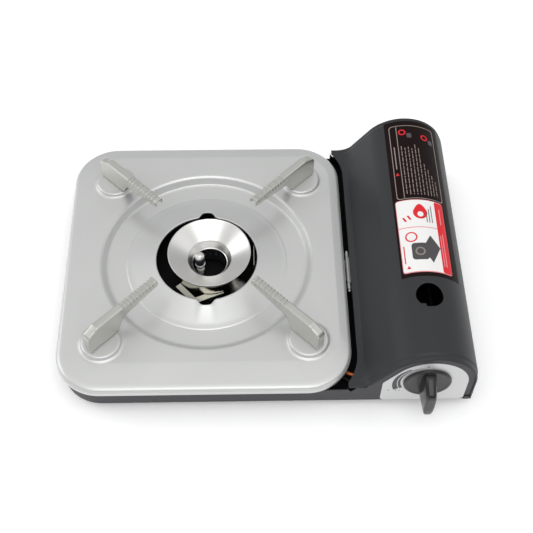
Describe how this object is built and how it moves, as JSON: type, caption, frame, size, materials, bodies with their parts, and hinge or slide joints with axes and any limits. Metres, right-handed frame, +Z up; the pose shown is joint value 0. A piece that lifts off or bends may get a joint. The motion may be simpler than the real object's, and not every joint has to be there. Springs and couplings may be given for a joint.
{
  "type": "camping stove",
  "caption": "Portable flat gas stove with one burner, pot supports on a lift-off drip plate, a hinged cartridge cover and a control knob with built-in spark ignition.",
  "frame": {"origin": "centre of the whole stove's footprint, on the ground under its rubber feet", "axes": "+X from the burner to the cartridge side, +Y from the knob to the back, +Z up"},
  "size_m": [0.3426, 0.2776, 0.0778],
  "materials": {
    "plate_silver": "silver baked enamel, satin",
    "support_steel": "plated sheet steel, satin",
    "body_paint": "dark grey powder coat, semi-matt",
    "cover_paint": "dark grey paint, semi-matt",
    "galvanised": "galvanised sheet, dull",
    "fascia_silver": "fine satin",
    "knob_plastic": "moulded, satin",
    "catch_plastic": "moulded",
    "label_print": "printed film",
    "rubber_black": "matt",
    "hinge_steel": "plated",
    "screw_steel": "zinc plated",
    "head_aluminium": "turned and polished",
    "burner_steel": "bright",
    "port_steel": "heat darkened",
    "tube_steel": "plated",
    "nozzle_brass": "machined",
    "pipe_copper": "drawn copper",
    "electrode_metal": "polished",
    "ceramic": "glazed ceramic",
    "heat_aluminium": "rolled sheet",
    "valve_casting": "die cast",
    "magnet_dark": "sintered",
    "igniter_plastic": "moulded",
    "wire_cover": "silicone"
  },
  "bodies": {
    "base": {"base_tray": "body_paint", "bay_partition": "galvanised", "foot_front_left": "rubber_black", "foot_back_left": "rubber_black", "foot_front_right": "rubber_black", "foot_back_right": "rubber_black", "fascia_plate": "fascia_silver", "cover_catch": "catch_plastic", "tray_screws": "screw_steel", "base_hinge_leaf": "hinge_steel", "hinge_pin": "hinge_steel", "burner_head": "head_aluminium", "burner_bowl": "burner_steel", "port_ring": "port_steel", "mixing_tube": "tube_steel", "gas_nozzle": "nozzle_brass", "nozzle_bracket": "galvanised", "gas_pipe": "pipe_copper", "pipe_nut": "nozzle_brass", "burner_bracket": "burner_steel", "electrode_insulator": "ceramic", "spark_electrode": "electrode_metal", "electrode_terminal": "nozzle_brass", "heat_strip": "heat_aluminium", "valve_body": "valve_casting", "valve_gland": "nozzle_brass", "regulator_cap": "valve_casting", "regulator_screws": "screw_steel", "valve_bracket": "galvanised", "magnet_ring": "magnet_dark", "cartridge_guide": "screw_steel", "inlet_seal": "rubber_black", "cartridge_rails": "galvanised", "piezo_igniter": "igniter_plastic", "ignition_wire": "wire_cover"},
    "plate": {"top_plate": "plate_silver", "pot_support_back_right": "support_steel", "pot_support_back_left": "support_steel", "pot_support_front_left": "support_steel", "pot_support_front_right": "support_steel"},
    "cover": {"cartridge_cover": "cover_paint", "cover_label": "label_print", "cover_hinge_leaf": "hinge_steel"},
    "knob": {"knob": "knob_plastic", "valve_spindle": "nozzle_brass", "ignition_cam": "screw_steel"},
    "plunger": {"igniter_plunger": "electrode_metal"}
  },
  "joints": [
    {"name": "cover_hinge", "type": "hinge", "parent": "base", "child": "cover", "pos_m": [0.07472, -0.0022, 0.031], "axis": [0, -1, 0], "range_deg": [0, 62]},
    {"name": "plate_lift", "type": "slide", "parent": "base", "child": "plate", "axis": [0, 0, 1], "range_m": [0, 0.008]},
    {"name": "knob_turn", "type": "hinge", "parent": "base", "child": "knob", "pos_m": [0.12982, -0.1172, 0.042], "axis": [0, -1, 0], "range_deg": [0, 105]},
    {"name": "plunger_press", "type": "slide", "parent": "base", "child": "plunger", "axis": [-0.8192, 0, -0.5736], "range_m": [0, 0.0041]}
  ],
  "couplings": [
    {"joint": "plunger_press", "follows": "knob_turn", "m_per_rad": 0.0021827}
  ]
}
